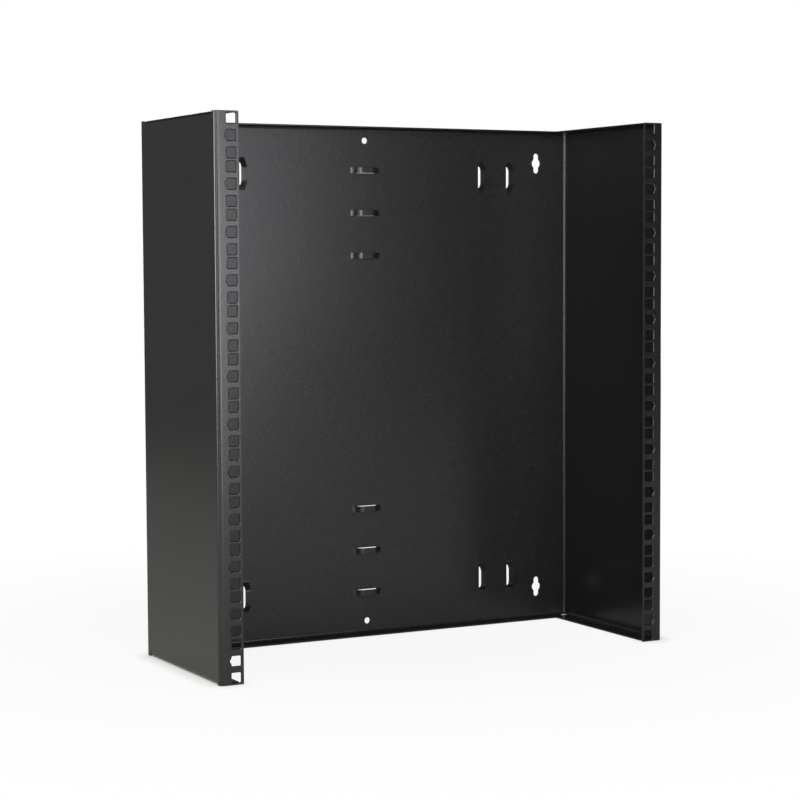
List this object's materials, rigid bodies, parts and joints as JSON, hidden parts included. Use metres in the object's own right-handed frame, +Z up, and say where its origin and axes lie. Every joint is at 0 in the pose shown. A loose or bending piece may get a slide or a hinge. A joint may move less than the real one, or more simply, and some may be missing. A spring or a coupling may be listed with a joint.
{
  "type": "wall mount open frame rack",
  "caption": "Folded sheet steel frame that hangs on a wall and carries 19 inch equipment on square-hole flanges.",
  "frame": {"origin": "centre of the back's outer face, in the plane of the wall", "axes": "+X to the right as seen from the front, +Y into the wall, +Z up; the open front faces -Y"},
  "size_m": [0.4984, 0.1865, 0.5342],
  "materials": {
    "black_powder_coat": "satin powder coat with a fine texture"
  },
  "bodies": {
    "root": {"folded_frame": "black_powder_coat"}
  },
  "joints": []
}
